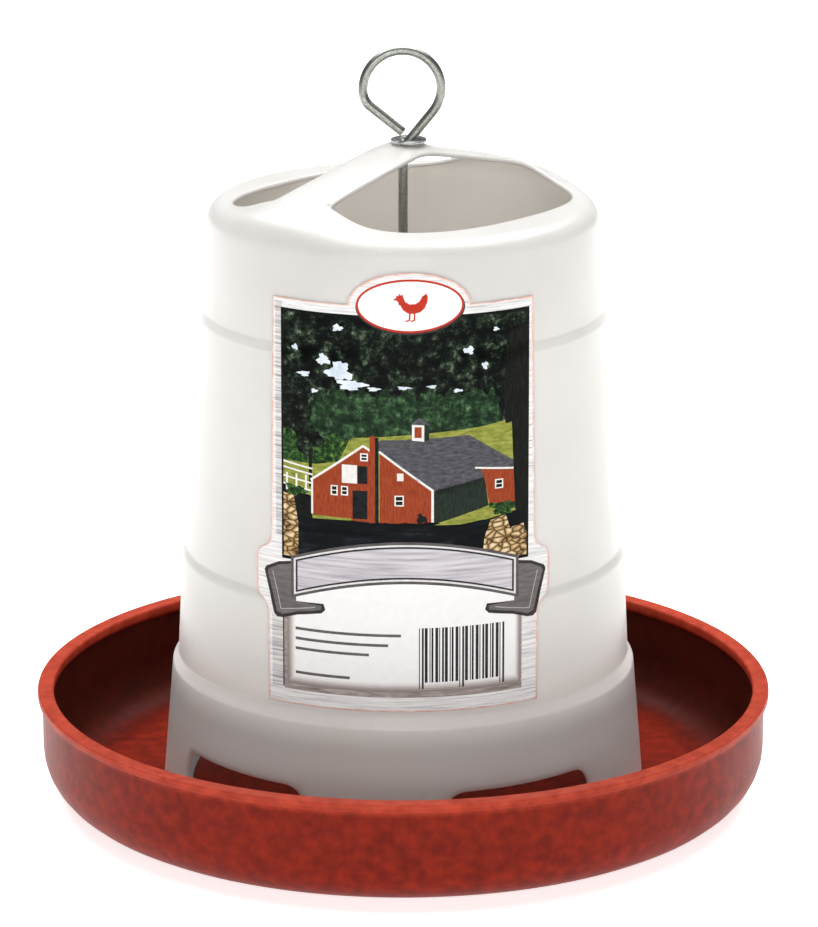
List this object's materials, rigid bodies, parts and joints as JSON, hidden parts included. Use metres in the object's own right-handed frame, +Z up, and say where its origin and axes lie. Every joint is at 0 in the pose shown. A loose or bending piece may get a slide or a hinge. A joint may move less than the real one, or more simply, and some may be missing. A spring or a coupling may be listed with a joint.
{
  "type": "gravity poultry feeder",
  "caption": "Hanging gravity feeder for poultry: a red round feed pan, a translucent white hopper with a carrying bridge, and a wire hanger rod held by a wing nut.",
  "frame": {"origin": "centre of the feed pan's underside, on the axis of the pan, hopper and rod", "axes": "+Z up along the rod, -Y to the front where the label is, +X to the right as seen from the front"},
  "size_m": [0.24, 0.24, 0.2477],
  "materials": {
    "red_plastic": "brick red moulded polypropylene with a fine grain",
    "milky_plastic": "milky translucent blow-moulded polyethylene",
    "printed_label": "printed paper label with a thin clear coat",
    "plated_wire": "dull zinc-plated steel wire",
    "plated_washer": "zinc-plated steel"
  },
  "bodies": {
    "pan": {"feed_pan": "red_plastic"},
    "hopper": {"hopper": "milky_plastic", "label": "printed_label"},
    "hanger": {"hanger_rod": "plated_wire", "top_washer": "plated_washer"},
    "washer": {"lower_washer": "plated_washer"},
    "nut": {"wing_nut": "plated_washer"}
  },
  "joints": [
    {"name": "hopper_turn", "type": "hinge", "parent": "pan", "child": "hopper", "pos_m": [0, 0, 0.0031], "axis": [0, 0, 1], "continuous": true},
    {"name": "hanger_turn", "type": "hinge", "parent": "pan", "child": "hanger", "pos_m": [0, 0, 0.1], "axis": [0, 0, 1], "continuous": true},
    {"name": "washer_drop", "type": "slide", "parent": "hanger", "child": "washer", "axis": [0, 0, -1], "range_m": [0, 0.0081]},
    {"name": "nut_unscrew", "type": "hinge", "parent": "washer", "child": "nut", "pos_m": [0, 0, 0.0175], "axis": [0, 0, -1], "range_deg": [0, 4535]}
  ],
  "couplings": [
    {"joint": "washer_drop", "follows": "nut_unscrew", "m_per_rad": 0.00010106}
  ]
}
